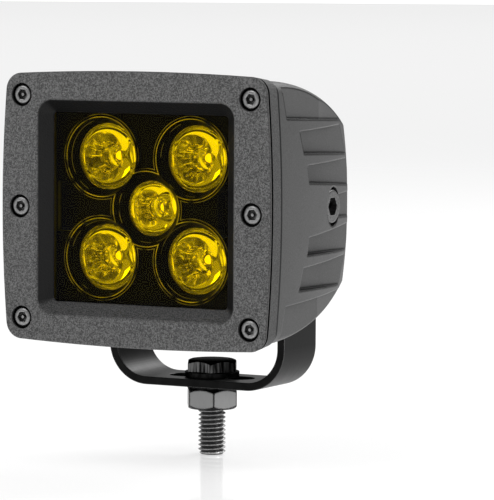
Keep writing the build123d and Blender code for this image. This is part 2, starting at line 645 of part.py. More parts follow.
with BuildPart() as housing:
    for depth, section in HOUSING_SECTIONS:
        with BuildSketch(at_depth(depth)):
            add(section)
    loft()
    fillet(housing.edges().group_by(Axis.Y)[-1], radius=TAIL_EDGE_ROUND)
    # side skin pockets
    for tool in POCKET_TOOLS:
        add(tool, mode=Mode.SUBTRACT)
    # gaps between the plates
    with BuildSketch(at_depth(FLOOR_BACK)):
        for step in range(-FINS_PER_SIDE, FINS_PER_SIDE):
            with Locations(((step + 0.5) * FIN_PITCH, 0)):
                Rectangle(FIN_PITCH - FIN_THICK, 2 * FACE_HEIGHT)
        for side in (-1, 1):
            with Locations((side * (LAST_FIN_OUT + WALL_IN) / 2, 0)):
                Rectangle(WALL_IN - LAST_FIN_OUT, 2 * FACE_HEIGHT)
    extrude(amount=-LAMP_DEPTH, mode=Mode.SUBTRACT)
    # driver bulge in the middle of the fins, and the gland boss behind it
    with BuildSketch(at_depth(PLATE_POCKET_FLOOR)):
        Rectangle(DRIVER_POCKET_WIDTH + 2 * DRIVER_WALL, DRIVER_POCKET_HEIGHT + 2 * DRIVER_WALL)
    extrude(amount=-(DRIVER_BACK - PLATE_POCKET_FLOOR))
    with BuildSketch(at_depth(DRIVER_BACK)):
        with Locations((0, -GLAND_DROP)):
            Rectangle(FIN_PITCH, 2 * GLAND_CLEARING)
    extrude(amount=-LAMP_DEPTH, mode=Mode.SUBTRACT)
    with BuildSketch(at_depth(DRIVER_BACK)):
        with Locations((0, -GLAND_DROP)):
            Circle(GLAND_BOSS_R)
    extrude(amount=-GLAND_BOSS_LENGTH)
    # tilt bolt bosses inside each wall and on each outer fin
    for side in (-1, 1):
        with BuildSketch(at_side(side * (WALL_IN - BOSS_PROUD))):
            Circle(BOSS_R)
        extrude(amount=side * BOSS_PROUD)
        with BuildSketch(at_side(side * FIN_BOSS_IN)):
            Circle(FIN_BOSS_R)
        extrude(amount=side * (FIN_BOSS_OUT - FIN_BOSS_IN))
        with BuildSketch(at_side(side * INNER_SEAT)):
            Circle(PIVOT_RECESS_R)
        extrude(amount=side * FACE_WIDTH, mode=Mode.SUBTRACT)
        with BuildSketch(at_side(side * (ARM_IN + BODY_GAP))):
            Circle(PIVOT_BOLT_R + 2 * CLAMP_GAP)
        extrude(amount=side * FACE_WIDTH, mode=Mode.SUBTRACT)
        with BuildSketch(at_side(side * (FIN_BOSS_IN + FIN_THICK / 2))):
            Circle(PIVOT_BOLT_R + THREAD_FIT)
        extrude(amount=side * (FIN_BOSS_OUT - FIN_BOSS_IN), mode=Mode.SUBTRACT)
    # front pockets
    with BuildSketch(at_depth(BEZEL_DEPTH)):
        RectangleRounded(POCKET_WIDTH, POCKET_HEIGHT, LENS_CORNER_R - GASKET_LAND)
    extrude(amount=-(PLATE_POCKET_FLOOR - BEZEL_DEPTH), mode=Mode.SUBTRACT)
    with BuildSketch(at_depth(PLATE_POCKET_FLOOR)):
        Rectangle(DRIVER_POCKET_WIDTH, DRIVER_POCKET_HEIGHT)
    extrude(amount=-DRIVER_POCKET_DEPTH, mode=Mode.SUBTRACT)
    with BuildSketch(at_depth(DRIVER_FLOOR)):
        with Locations((0, -GLAND_DROP)):
            Circle(GLAND_BORE_R)
    extrude(amount=-(DRIVER_WALL + GLAND_BOSS_LENGTH), mode=Mode.SUBTRACT)
    with BuildSketch(at_depth(PLATE_POCKET_FLOOR)):
        with Locations(*BOARD_SCREW_POINTS):
            Circle(BOARD_SCREW_R + THREAD_FIT)
    extrude(amount=-(BOARD_SCREW_REACH + BODY_GAP), mode=Mode.SUBTRACT)
    with BuildSketch(at_depth(BEZEL_DEPTH)):
        with Locations(*SCREW_POINTS):
            Circle(SCREW_R + THREAD_FIT)
    extrude(amount=-(SCREW_REACH + BODY_GAP), mode=Mode.SUBTRACT)
housing.part.label = "housing"
export_step(housing.part, "parts/housing.step")

# ---------------------------------------------------------------- cable gland with no cable in it
with BuildPart() as cable_gland:
    with BuildSketch(at_depth(DRIVER_BACK + GLAND_BOSS_LENGTH)):
        with Locations((0, -GLAND_DROP)):
            RegularPolygon(GLAND_FLATS / 3**0.5, 6)
    extrude(amount=-GLAND_NUT_LENGTH)
    chamfer(cable_gland.edges().group_by(Axis.Y)[-1], length=BODY_GAP)
    with BuildSketch(at_depth(DRIVER_BACK + GLAND_BOSS_LENGTH)):
        with Locations((0, -GLAND_DROP)):
            Circle(GLAND_BORE_R - THREAD_FIT)
    extrude(amount=GLAND_SPIGOT)
    with BuildSketch(at_depth(DRIVER_FLOOR)):
        with Locations((0, -GLAND_DROP)):
            Circle(GLAND_HOLE_R)
    extrude(amount=-LAMP_DEPTH, mode=Mode.SUBTRACT)
cable_gland.part.label = "cable_gland"
export_step(cable_gland.part, "parts/cable_gland.step")

with BuildPart() as gland_seal:
    with BuildSketch(at_depth(DRIVER_BACK + GLAND_BOSS_LENGTH)):
        with Locations((0, -GLAND_DROP)):
            Circle(GLAND_HOLE_R)
            Circle(GLAND_SEAL_HOLE_R, mode=Mode.SUBTRACT)
    extrude(amount=-GLAND_SEAL_LENGTH)
gland_seal.part.label = "gland_seal"
export_step(gland_seal.part, "parts/gland_seal.step")

# ---------------------------------------------------------------- tilt bolts and their washers
for side, hand in ((-1, "left"), (1, "right")):
    with BuildPart() as side_bolt:
        with BuildSketch(at_side(side * INNER_SEAT)):
            Circle(PIVOT_HEAD_R)
        extrude(amount=side * PIVOT_HEAD_H)
        outer_rim = side_bolt.edges().group_by(Axis.X)[-1 if side > 0 else 0]
        fillet(outer_rim, radius=PIVOT_HEAD_R / 8)
        with BuildSketch(at_side(side * INNER_SEAT)):
            Circle(PIVOT_BOLT_R)
        extrude(amount=-side * (INNER_SEAT - FIN_BOSS_IN - FIN_THICK))
        with BuildSketch(at_side(side * (INNER_SEAT + PIVOT_HEAD_H))):
            RegularPolygon(PIVOT_SOCKET_R, 6)
        extrude(amount=-side * PIVOT_SOCKET_DEPTH, mode=Mode.SUBTRACT)
    side_bolt.part.label = "side_bolt_" + hand
    export_step(side_bolt.part, "parts/side_bolt_" + hand + ".step")

    with BuildPart() as pivot_washer:
        with BuildSketch(at_side(side * (WALL_IN - BOSS_PROUD))):
            Circle(PIVOT_WASHER_R)
            Circle(PIVOT_BOLT_R + CLAMP_GAP, mode=Mode.SUBTRACT)
        extrude(amount=-side * PIVOT_WASHER_THICK)
    pivot_washer.part.label = "pivot_washer_" + hand
    export_step(pivot_washer.part, "parts/pivot_washer_" + hand + ".step")

# ---------------------------------------------------------------- U bracket
SLOT_WIDTH = 2 * (STUD_R + STUD_SLOT_PLAY)
ARM_END_R = STRAP_WIDTH / 2
with BuildPart() as bracket:
    with BuildSketch(Plane(origin=(0, 0, 0), x_dir=(1, 0, 0), z_dir=(0, -1, 0))) as strap_edge:
        with BuildLine() as strap_line:
            FilletPolyline(
                (ARM_OUT - STRAP_THICK / 2, PIVOT_HEIGHT + ARM_END_R),
                (ARM_OUT - STRAP_THICK / 2, STRAP_UNDER + STRAP_THICK / 2),
                (-(ARM_OUT - STRAP_THICK / 2), STRAP_UNDER + STRAP_THICK / 2),
                (-(ARM_OUT - STRAP_THICK / 2), PIVOT_HEIGHT + ARM_END_R),
                radius=STRAP_BEND_R + STRAP_THICK / 2,
            )
        trace(line_width=STRAP_THICK)
    extrude(amount=STRAP_WIDTH / 2, both=True)
    with BuildSketch(at_side(0)):
        with Locations((0, -PIVOT_HEIGHT / 2)):
            Rectangle(STRAP_WIDTH, PIVOT_HEIGHT)
        Circle(ARM_END_R)
    extrude(amount=FACE_WIDTH, both=True, mode=Mode.INTERSECT)
    with BuildSketch(at_side(0)):
        Circle(PIVOT_BOLT_R + RUNNING_FIT)
    extrude(amount=FACE_WIDTH, both=True, mode=Mode.SUBTRACT)
    with BuildSketch(at_height(STRAP_UNDER)):
        SlotOverall(SLOT_LENGTH, SLOT_WIDTH)
    extrude(amount=STRAP_THICK, mode=Mode.SUBTRACT)
bracket.part.label = "bracket"
export_step(bracket.part, "parts/bracket.step")

# ---------------------------------------------------------------- mounting bolt, washers and nut
with BuildPart() as mount_bolt:
    with BuildSketch(at_height(HEAD_UNDER)):
        RegularPolygon(HEX_R, 6, rotation=HEAD_TURN)
    extrude(amount=HEAD_THICK)
    with BuildSketch(Plane.XZ):
        with BuildLine():
            Polyline(
                (0, HEAD_UNDER - HEAD_THICK),
                (2 * HEX_R, HEAD_UNDER - HEAD_THICK),
                (2 * HEX_R, HEAD_UNDER + HEAD_THICK / 2),
                (HEX_FLATS / 2 - HEX_CORNER_TRIM, HEAD_UNDER + HEAD_THICK),
                (0, HEAD_UNDER + HEAD_THICK),
                close=True,
            )
        make_face()
    revolve(axis=Axis.Z, mode=Mode.INTERSECT)
    with BuildSketch(at_height(HEAD_UNDER)):
        Circle(STUD_R)
    extrude(amount=-(HEAD_UNDER + STUD_FREE_LENGTH))
    chamfer(mount_bolt.edges().group_by(Axis.Z)[0], length=STUD_TIP_CHAMFER)
    with BuildSketch(at_height(0)):
        Circle(2 * STUD_R)
        Circle(ROOT_RING_R, mode=Mode.SUBTRACT)
    extrude(amount=ROOT_RING_LENGTH, mode=Mode.SUBTRACT)
mount_bolt.part.label = "mount_bolt"
export_step(mount_bolt.part, "parts/mount_bolt.step")

with BuildPart() as flat_washer:
    with BuildSketch(at_height(WASHER_UNDER)):
        Circle(FLAT_WASHER_R)
        Circle(STUD_R + RUNNING_FIT, mode=Mode.SUBTRACT)
    extrude(amount=FLAT_WASHER_THICK)
flat_washer.part.label = "flat_washer"
export_step(flat_washer.part, "parts/flat_washer.step")

with BuildPart() as lock_washer:
    with BuildSketch(at_height(NUT_THICK)):
        Circle(LOCK_WASHER_R)
        Circle(STUD_R + RUNNING_FIT, mode=Mode.SUBTRACT)
        with PolarLocations(LOCK_WASHER_R, LOCK_WASHER_NOTCHES):
            Circle(LOCK_WASHER_NOTCH_R, mode=Mode.SUBTRACT)
    extrude(amount=LOCK_WASHER_THICK)
lock_washer.part.label = "lock_washer"
export_step(lock_washer.part, "parts/lock_washer.step")

with BuildPart() as mount_nut:
    with BuildSketch(at_height(0)):
        RegularPolygon(HEX_R, 6, rotation=NUT_TURN)
    extrude(amount=NUT_THICK)
    with BuildSketch(Plane.XZ):
        with BuildLine():
            Polyline(
                (0, 0),
                (HEX_FLATS / 2 - HEX_CORNER_TRIM, 0),
                (2 * HEX_R, NUT_THICK / 2),
                (HEX_FLATS / 2 - HEX_CORNER_TRIM, NUT_THICK),
                (0, NUT_THICK),
                close=True,
            )
        make_face()
    revolve(axis=Axis.Z, mode=Mode.INTERSECT)
    with BuildSketch(at_height(0)):
        Circle(STUD_R + THREAD_FIT)
    extrude(amount=NUT_THICK, mode=Mode.SUBTRACT)
    bore_rims = mount_nut.edges().filter_by(GeomType.CIRCLE).sort_by(SortBy.RADIUS)[:2]
    chamfer(bore_rims, length=NUT_MOUTH_CHAMFER)
mount_nut.part.label = "mount_nut"
export_step(mount_nut.part, "parts/mount_nut.step")
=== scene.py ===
# %% [markdown]
# # A square LED fog light
# The CAD frame brings every part of the lamp at its true size, already sorted into bodies that move.
# Here each surface gets a finish, and the few parts whose real shape is finer than CAD needs are
# built again: the threaded bolt and its nut, the pin-in-hex screws and the moulded optics.

import bpy
import bmesh
import math
import random
from mathutils import Matrix, Vector


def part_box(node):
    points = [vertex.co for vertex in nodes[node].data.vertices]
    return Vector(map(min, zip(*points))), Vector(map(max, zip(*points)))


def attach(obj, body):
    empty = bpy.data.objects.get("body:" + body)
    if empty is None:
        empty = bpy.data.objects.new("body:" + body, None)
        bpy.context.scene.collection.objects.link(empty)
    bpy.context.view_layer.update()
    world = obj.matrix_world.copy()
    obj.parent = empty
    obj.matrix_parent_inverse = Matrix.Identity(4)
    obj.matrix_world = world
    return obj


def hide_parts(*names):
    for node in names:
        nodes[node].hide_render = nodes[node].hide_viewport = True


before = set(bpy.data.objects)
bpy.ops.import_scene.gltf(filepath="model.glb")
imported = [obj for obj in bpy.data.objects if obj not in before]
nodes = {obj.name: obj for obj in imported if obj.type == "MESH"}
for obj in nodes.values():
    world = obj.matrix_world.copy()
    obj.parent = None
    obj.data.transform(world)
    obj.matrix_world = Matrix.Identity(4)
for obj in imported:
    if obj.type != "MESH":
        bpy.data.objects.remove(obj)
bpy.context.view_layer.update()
MM = 0.001
random.seed(7)


# %% [markdown]
# ## Landmarks
# Finishes are laid out from places on the lamp, such as the tilt axis or the back of the bezel. They
# are read from the boxes of the parts where a box gives them. The few that no box gives are named
# numbers, such as the 33 mm from the middle at which the side walls of the body begin.


# %% Read the landmarks
def middle_of(low, high):
    """Centre of a box given by two corners."""
    return (low + high) / 2


OPTICS = ["top_left", "top_right", "bottom_left", "bottom_right", "centre"]
bezel_low, bezel_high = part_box("bezel")
tray_low, tray_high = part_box("optic_tray")
bolt_low, bolt_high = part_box("mount_bolt")
nut_low, nut_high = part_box("mount_nut")
screw_low, screw_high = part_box("bezel_screws")
pivot = middle_of(*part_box("side_bolt_right"))
SIDE_WALLS_X = 33.0 * MM
print("tilt axis at", round(pivot.y / MM, 2), round(pivot.z / MM, 2), "mm")

# %% [markdown]
# ## Shader maths as plain Python
# A material in Blender is a graph. Adding one node per line hides the idea behind the wiring, so a
# socket is wrapped in a class whose operators add the maths nodes. `1 - mask` then reads as it should.


# %% A socket that understands arithmetic
class Wire:
    """A number coming out of a shader node; operators add Math nodes."""

    def __init__(self, finish, socket):
        self.finish = finish
        self.socket = socket

    def maths(self, operation, *values):
        made = self.finish.node("ShaderNodeMath", {"operation": operation}, dict(enumerate(values)))
        return Wire(self.finish, made.outputs[0])

    def __add__(self, other):
        return self.maths("ADD", self, other)

    __radd__ = __add__

    def __sub__(self, other):
        return self.maths("SUBTRACT", self, other)

    def __rsub__(self, other):
        return self.maths("SUBTRACT", other, self)

    def __mul__(self, other):
        return self.maths("MULTIPLY", self, other)

    __rmul__ = __mul__

    def __gt__(self, other):
        return self.maths("GREATER_THAN", self, other)

    def __lt__(self, other):
        return self.maths("LESS_THAN", self, other)

    def __abs__(self):
        return self.maths("ABSOLUTE", self)

    def power(self, exponent):
        return self.maths("POWER", self, exponent)

    def either(self, other):
        """The larger of two masks."""
        return self.maths("MAXIMUM", self, other)

    def nearer(self, other):
        """The smaller of two distances."""
        return self.maths("MINIMUM", self, other)

    def smooth(self, low, high):
        """0 below low, 1 above high, with a soft step between."""
        settings = {"interpolation_type": "SMOOTHSTEP"}
        made = self.finish.node("ShaderNodeMapRange", settings, {0: self, 1: low, 2: high})
        return Wire(self.finish, made.outputs[0])


# %% A material being made
class Finish:
    """One material: its Principled shader, and one method that adds any node."""

    def __init__(self, name, **uniform):
        self.material = bpy.data.materials.new(name)
        self.material.use_nodes = True
        self.tree = self.material.node_tree
        self.shader = self.tree.nodes["Principled BSDF"]
        for socket, value in uniform.items():
            self.shader.inputs[socket.replace("_", " ")].default_value = value

    def node(self, kind, settings=None, inputs=None):
        made = self.tree.nodes.new(kind)
        for key, value in (settings or {}).items():
            setattr(made, key, value)
        for key, value in (inputs or {}).items():
            self.feed(made.inputs[key], value)
        return made

    def feed(self, socket, value):
        if isinstance(value, Wire):
            self.tree.links.new(value.socket, socket)
        elif isinstance(value, bpy.types.NodeSocket):
            self.tree.links.new(value, socket)
        else:
            socket.default_value = value

    def wire(self, node, output=0):
        return Wire(self, node.outputs[output])

    def place(self, scale=(1.0, 1.0, 1.0)):
        """Where a point is on the part, in metres times scale."""
        where = self.node("ShaderNodeTexCoord").outputs["Object"]
        return self.node("ShaderNodeVectorMath", {"operation": "MULTIPLY"}, {0: where, 1: scale}).outputs[0]

    def noise(self, per_metre, detail=2.0, scale=(1.0, 1.0, 1.0)):
        inputs = {"Vector": self.place(scale), "Scale": per_metre, "Detail": detail}
        return self.wire(self.node("ShaderNodeTexNoise", None, inputs))

    def blend(self, factor, first, second):
        made = self.node("ShaderNodeMix", {"data_type": "RGBA"}, {0: factor, 6: first, 7: second})
        return made.outputs[2]

    def soft_edge(self, radius, samples=6):
        """The normal a slightly rounded edge would have."""
        return self.node("ShaderNodeBevel", {"samples": samples}, {"Radius": radius}).outputs[0]

    def flat_normal(self):
        return self.node("ShaderNodeNewGeometry").outputs["True Normal"]

    def axis(self, vector, number):
        """One component of a vector: 0 across, 1 deep, 2 up."""
        return self.wire(self.node("ShaderNodeSeparateXYZ", None, {0: vector}), number)

    def place_axes(self):
        """Where a point is: across, deep and up."""
        return [self.axis(self.place(), number) for number in range(3)]

    def distance(self, one, two):
        """Length of two components, such as the distance of a point from an axis."""
        return (one * one + two * two).power(0.5)

    def edge_mask(self, rounded, low=0.02, high=0.25):
        """1 on sharp edges and 0 on flats, from how far the rounded normal leans."""
        inputs = {0: rounded, 1: self.flat_normal()}
        dot = self.node("ShaderNodeVectorMath", {"operation": "DOT_PRODUCT"}, inputs)
        return (1 - self.wire(dot, "Value")).smooth(low, high)

    def hollow(self, distance, low=0.35, high=0.9):
        """1 deep in creases and 0 in the open, from how much of the sky a point sees nearby."""
        made = self.node("ShaderNodeAmbientOcclusion", {"samples": 8}, {"Distance": distance})
        return 1 - self.wire(made, "AO").smooth(low, high)

    def relief(self, height, distance, normal=None, strength=1.0):
        inputs = {"Height": height, "Distance": distance, "Strength": strength}
        if normal is not None:
            inputs["Normal"] = normal
        self.feed(self.shader.inputs["Normal"], self.node("ShaderNodeBump", None, inputs).outputs[0])


def grey(value):
    return (value, value, value, 1.0)


def paint(finish, *names):
    """Gives CAD nodes a finish through their material slots."""
    for name in names:
        for place in nodes[name].material_slots:
            place.material = finish.material
    print(finish.material.name, "->", ", ".join(names))


# %% [markdown]
# ## Powder coat
# The bezel is a die casting sprayed with coarse black powder and baked. The powder flows just enough
# to make a grain of soft bumps under half a millimetre across, so the face sparkles in dull greys.
# A repeated picture of powder would show its seams, and noise has none. Three noises make the grain:
# bumps, finer bumps on them, and a slow cloud of gloss. The sloped window edge is more metallic and
# painted darker as shade, with painted light on its faces that look up or to the right. The side
# flanks get painted shade, the groove, the parting line and the creases get painted shadow, and the
# edges are lighter from a worn coat and a painted highlight.

# %% Bezel coat
WINDOW_X = 32.4 * MM
WINDOW_Z = 31.2 * MM
GROOVE = (1.05 * MM, 2.15 * MM)
PARTING_WIDTH = 0.62 * MM
coat = Finish("bezel_powder_coat", Specular_IOR_Level=0.35)
bumps = coat.noise(2500.0, 1.0)
fine = coat.noise(5600.0, 1.0)
cloud = coat.noise(45.0, 2.0)
rounded = coat.soft_edge(0.35 * MM)
edge = coat.edge_mask(rounded)
across, deep, high = coat.place_axes()
inside = (abs(across) < WINDOW_X) * (abs(high - pivot.z) < WINDOW_Z)
slope = (deep - (bezel_low.y + 0.25 * MM)).smooth(0.0, 0.5 * MM) * inside
groove = (deep > bezel_low.y + GROOVE[0]) * (deep < bezel_low.y + GROOVE[1])
parting = deep > bezel_high.y - PARTING_WIDTH
# Painted shadow in the groove and at the parting line.
groove_and_parting_shadow = groove.either(parting) * (1 - inside)
lean = coat.flat_normal()
# Painted light on the window slope: faces that look up or to the right are lighter, and the rest of the slope
# is painted dark as shade.
slope_up_light = coat.axis(lean, 2).smooth(0.1, 0.5)
slope_right_light = coat.axis(lean, 0).smooth(0.1, 0.5)
grain = (bumps * 0.5 + fine * 0.5).smooth(0.39, 0.63)
# Painted shade in creases.
crease_shade = coat.hollow(0.9 * MM)
flank = abs(coat.axis(lean, 0)).smooth(0.5, 0.8) * (1 - inside)
face_colour = coat.blend(grain, grey(0.036), grey(0.170))
# Painted shade: the side flanks are darker.
face_colour = coat.blend(flank * 0.5, face_colour, grey(0.012))
shaded_slope = coat.blend(slope_right_light * 0.7, grey(0.008), grey(0.030))
lit_and_shaded_slope = coat.blend(slope_up_light, shaded_slope, coat.blend(grain, grey(0.045), grey(0.13)))
coated = coat.blend(slope, face_colour, lit_and_shaded_slope)
# Lighter edges: worn coat and painted highlight.
worn_and_highlit = coat.blend(edge * (1 - slope) * 0.35, coated, grey(0.24))
dark = (crease_shade * 0.96).either(groove_and_parting_shadow)
coat.feed(coat.shader.inputs["Base Color"], coat.blend(dark, worn_and_highlit, grey(0.001)))
coat.feed(coat.shader.inputs["Metallic"], (dark * 0.9).either(slope * 0.85))
coat.feed(coat.shader.inputs["Roughness"], 0.52 + cloud * 0.10 - edge * 0.12 + bumps * 0.08)
coat.relief(bumps * 0.7 + fine * 0.3, 0.22 * MM, rounded, 1.0)
paint(coat, "bezel")

# %% [markdown]
# ## Cast housing
# The housing has the same black powder but a finer, tighter grain, so it reads as satin. The gloss
# drifts a little with the thickness of the coat, and the coat thins on edges, which are painted
# lighter for that wear and as a painted highlight; the upper pocket edges on the side walls get a
# painted highlight too. Painted shade lies on the lower lips and up-facing steps of the side pockets,
# in the parting line, in the wells of the tilt bolts and in the creases between fins. Each has a mask
# worked out from the shape, so the painted shadows stay put when the light moves.

# %% Housing coat
cast = Finish("housing_satin_coat", Specular_IOR_Level=0.4)
POCKETS_BEHIND_BEZEL = 3.0 * MM
POCKETS_HALF_HEIGHT = 29.0 * MM
WELL_R = 5.5 * MM
small = cast.noise(2600.0, 2.0)
patch = cast.noise(60.0, 3.0)
rounded = cast.soft_edge(0.55 * MM)
edge = cast.edge_mask(rounded)
lean = cast.flat_normal()
across, deep, high = cast.place_axes()
sideways = (abs(across) > SIDE_WALLS_X) * (deep > bezel_high.y + POCKETS_BEHIND_BEZEL)
flank = abs(cast.axis(lean, 0)).smooth(0.6, 0.8) * sideways
# Painted shadow under the lower lips of the side pockets and painted highlight on their upper edges.
tip_up = cast.axis(cast.soft_edge(0.95 * MM, 10), 2) - cast.axis(lean, 2)
lower_lip_shadow = tip_up.smooth(0.01, 0.07) * flank
# Painted shade on the up-facing step faces of the side pockets.
step_face_shade = cast.axis(lean, 2).smooth(0.55, 0.75) * sideways * (abs(high - pivot.z) < POCKETS_HALF_HEIGHT)
upper_edge_highlight = (0 - tip_up).smooth(0.10, 0.5) * flank
# Painted shadow in the parting line behind the bezel.
parting_shadow = deep < bezel_high.y + 1.1 * MM
# Painted shade in the wells of the tilt bolts, and next in the creases between fins.
from_axis = cast.distance(deep - pivot.y, high - pivot.z)
well = (1 - from_axis.smooth(WELL_R, WELL_R + 0.4 * MM)) * (abs(across) > SIDE_WALLS_X)
crease_shade = cast.hollow(1.6 * MM, 0.3, 0.85)
dark = lower_lip_shadow.either(step_face_shade).either(parting_shadow).either(well).either(crease_shade * 0.9)
body_colour = cast.blend(small.smooth(0.3, 0.7), grey(0.046), grey(0.070))
# Lighter edges from a worn coat and a painted highlight, with a painted highlight on the upper pocket edges.
worn_and_highlit = cast.blend(edge * (1 - flank) * 0.25 + upper_edge_highlight * 0.3, body_colour, grey(0.2))
cast.feed(cast.shader.inputs["Base Color"], cast.blend(dark * 0.97, worn_and_highlit, grey(0.002)))
cast.feed(cast.shader.inputs["Metallic"], dark * 0.8)
cast.feed(cast.shader.inputs["Roughness"], 0.42 + patch * 0.12 - edge * 0.1)
cast.relief(small, 0.05 * MM, rounded, 0.6)
paint(cast, "housing")

# %% [markdown]
# ## Strap
# The bracket is bent from steel strap and coated in smooth black. It is darker and glossier than the
# castings, with an almost invisible ripple from rolling. Faces that look up get painted light, and the
# edges get a painted highlight.

# %% Bracket coat
strap = Finish("bracket_black_coat", Metallic=1.0, Specular_Tint=grey(0.8))
ripple = strap.noise(220.0, 2.0, (1.0, 4.0, 1.0))
pores = strap.noise(3800.0, 1.0)
rounded = strap.soft_edge(0.45 * MM)
edge = strap.edge_mask(rounded)
# Painted light: faces that look up are lighter.
facing_up_light = strap.axis(strap.flat_normal(), 2).smooth(0.55, 1.0)
coat_colour = strap.blend(ripple, grey(0.004), grey(0.018))
coat_colour = strap.blend(facing_up_light, coat_colour, grey(0.085))
# Painted highlight on the edges.
strap.feed(strap.shader.inputs["Base Color"], strap.blend(edge * 0.6, coat_colour, grey(0.24)))
strap.feed(strap.shader.inputs["Roughness"], 0.26 + ripple * 0.14 + pores * 0.06)
strap.relief(ripple * 0.7 + pores * 0.3, 0.03 * MM, rounded, 0.5)
paint(strap, "bracket")


# %% [markdown]
# ## Steel hardware
# Bolts and washers are blackened steel: a dark oxide over machined metal, so the lathe and broach
# marks still show. The marks run along the part, so the noise is squeezed in one direction. Painted
# shade lies in hollows and at the root of the thread, and on the tops of the bolt head and washers,
# and edges are lighter from wear and a painted highlight. The nut is zinc plated and lighter.


# %% Machined steel finishes
def steel(
    name, dark, light, stretch, contrast, metallic, roughness, dark_top=0.0, hollow_mm=0.8, root_mm=0.0
):
    """Machined metal with marks along the part; painted shade in hollows, and on tops and roots if asked."""
    metal = Finish(name, Metallic=metallic, Specular_Tint=grey(1.0 - 0.8 * dark_top))
    marks = metal.noise(1800.0, 3.0, stretch)
    stain = metal.noise(160.0, 3.0)
    rounded = metal.soft_edge(0.22 * MM)
    edge = metal.edge_mask(rounded)
    top = metal.axis(metal.flat_normal(), 2).smooth(0.3, 0.6) * dark_top
    # Painted shade in hollows and on faces that look up.
    shaded = top.either(metal.hollow(hollow_mm * MM, 0.3, 0.8) * 0.96)
    if root_mm:
        across, deep, high = metal.place_axes()
        # Painted shade at the root of the thread.
        groove_floor = 1 - metal.distance(across, deep).smooth(root_mm * MM, (root_mm + 0.34) * MM)
        shaded = shaded.either(groove_floor * 0.85)
    body = metal.blend(marks.smooth(0.5 - contrast, 0.5 + contrast), grey(dark), grey(light))
    # Lighter edges: wear and painted highlight.
    worn_and_highlit = metal.blend(edge * 0.5, body, grey(min(1.0, light * 1.8)))
    metal.feed(metal.shader.inputs["Base Color"], metal.blend(shaded, worn_and_highlit, grey(0.004)))
    metal.feed(metal.shader.inputs["Roughness"], roughness + stain * 0.12 + marks * 0.08)
    metal.relief(marks, 0.03 * MM, rounded, 0.4)
    return metal


def plated_nut_finish():
    """Zinc over machined flats, with painted shade on the turned chamfers and along the edges."""
    metal = Finish("plated_nut")
    marks = metal.noise(1800.0, 3.0, (1.0, 1.0, 0.3))
    # Painted shade on the chamfers that face up or down and along the edges.
    chamfer = abs(metal.axis(metal.flat_normal(), 2)).smooth(0.15, 0.35)
    rounded = metal.soft_edge(0.8 * MM, 12)
    dark = chamfer.either(metal.edge_mask(rounded, 0.002, 0.014))
    flat = metal.blend(marks, grey(0.30), grey(0.35))
    metal.feed(metal.shader.inputs["Base Color"], metal.blend(dark, flat, grey(0.010)))
    metal.feed(metal.shader.inputs["Metallic"], 0.2 + dark * 0.65)
    metal.feed(metal.shader.inputs["Roughness"], 0.40 + marks * 0.1)
    metal.relief(marks, 0.02 * MM, rounded, 0.3)
    return metal


bolt_steel = steel("black_oxide_bolt", 0.004, 0.16, (1.0, 1.0, 0.06), 0.16, 1.0, 0.28, 0.97, 0.3)
thread_steel = steel("black_oxide_thread", 0.20, 0.44, (1.0, 1.0, 0.5), 0.3, 0.95, 0.20, 0.0, 0.8, 3.30)
nut_steel = plated_nut_finish()
screw_steel = steel("screw_steel", 0.20, 0.34, (1.0, 1.0, 1.0), 0.3, 0.9, 0.28, 0.0, 1.6)
side_steel = steel("tilt_bolt_steel", 0.07, 0.20, (0.3, 1.0, 1.0), 0.3, 0.95, 0.2, 0.0, 1.6)
washer_steel = steel("washer_steel", 0.004, 0.02, (1.0, 1.0, 0.3), 0.3, 1.0, 0.3, 0.9)
paint(washer_steel, "flat_washer", "lock_washer", "pivot_washer_left", "pivot_washer_right")
paint(screw_steel, "led_board_screws", "board_link_pins")

# %% [markdown]
# The heads of the tilt bolts keep a black ring of painted shade round a bright middle, where they sit in
# their wells.
# The ring is one more layer over the steel made above, laid out by the distance from the tilt axis.

# %% Painted shade round the tilt bolts
RING_INNER_R = 4.6 * MM
across, deep, high = side_steel.place_axes()
# Painted shade: a black ring round the head where it sits in its well.
ring = side_steel.distance(deep - pivot.y, high - pivot.z).smooth(RING_INNER_R, RING_INNER_R + 0.4 * MM)
machined_colour = side_steel.shader.inputs["Base Color"].links[0].from_socket
rim_shaded_colour = side_steel.blend(ring * 0.95, machined_colour, grey(0.003))
side_steel.feed(side_steel.shader.inputs["Base Color"], rim_shaded_colour)
paint(side_steel, "side_bolt_left", "side_bolt_right")

# %% [markdown]
# ## Amber window
# The lens is a flat sheet of dyed plastic. Light goes straight through and leaves yellow, and only the
# glare off its face stays white. A tinted transparent shader mixed with a glossy one by Fresnel does
# just that, and lets light reach the optics behind without slow refraction. A sheet that doesn't bend
# light would turn into a mirror from inside at a slant, so the glare is kept to faces seen from outside.

# %% Lens finish
amber = Finish("amber_window")
tint = amber.node("ShaderNodeBsdfTransparent", None, {"Color": (0.97, 0.88, 0.05, 1.0)})
glare = amber.node("ShaderNodeBsdfAnisotropic", None, {"Color": (1.0, 1.0, 1.0, 1.0), "Roughness": 0.03})
slant = amber.wire(amber.node("ShaderNodeFresnel", None, {"IOR": 1.14}))
from_outside = 1 - amber.wire(amber.node("ShaderNodeNewGeometry"), "Backfacing")
shine = slant * from_outside
mixed = amber.node("ShaderNodeMixShader", None, {0: shine, 1: tint.outputs[0], 2: glare.outputs[0]})
amber.feed(amber.tree.nodes["Material Output"].inputs["Surface"], mixed.outputs[0])
paint(amber, "lens")

# %% [markdown]
# ## Optic tray
# The tray is a black moulding with the faint orange peel of injection moulding. Painted highlights run
# along the rim of each cup and along a thin line inside it. Lines that thin could be found from how
# sharply the mesh bends, but that leaves noise. Here they come from plain distances: how far a point is
# from the nearest cup, and how deep it lies. A cup's radius is a share of the tray's size.

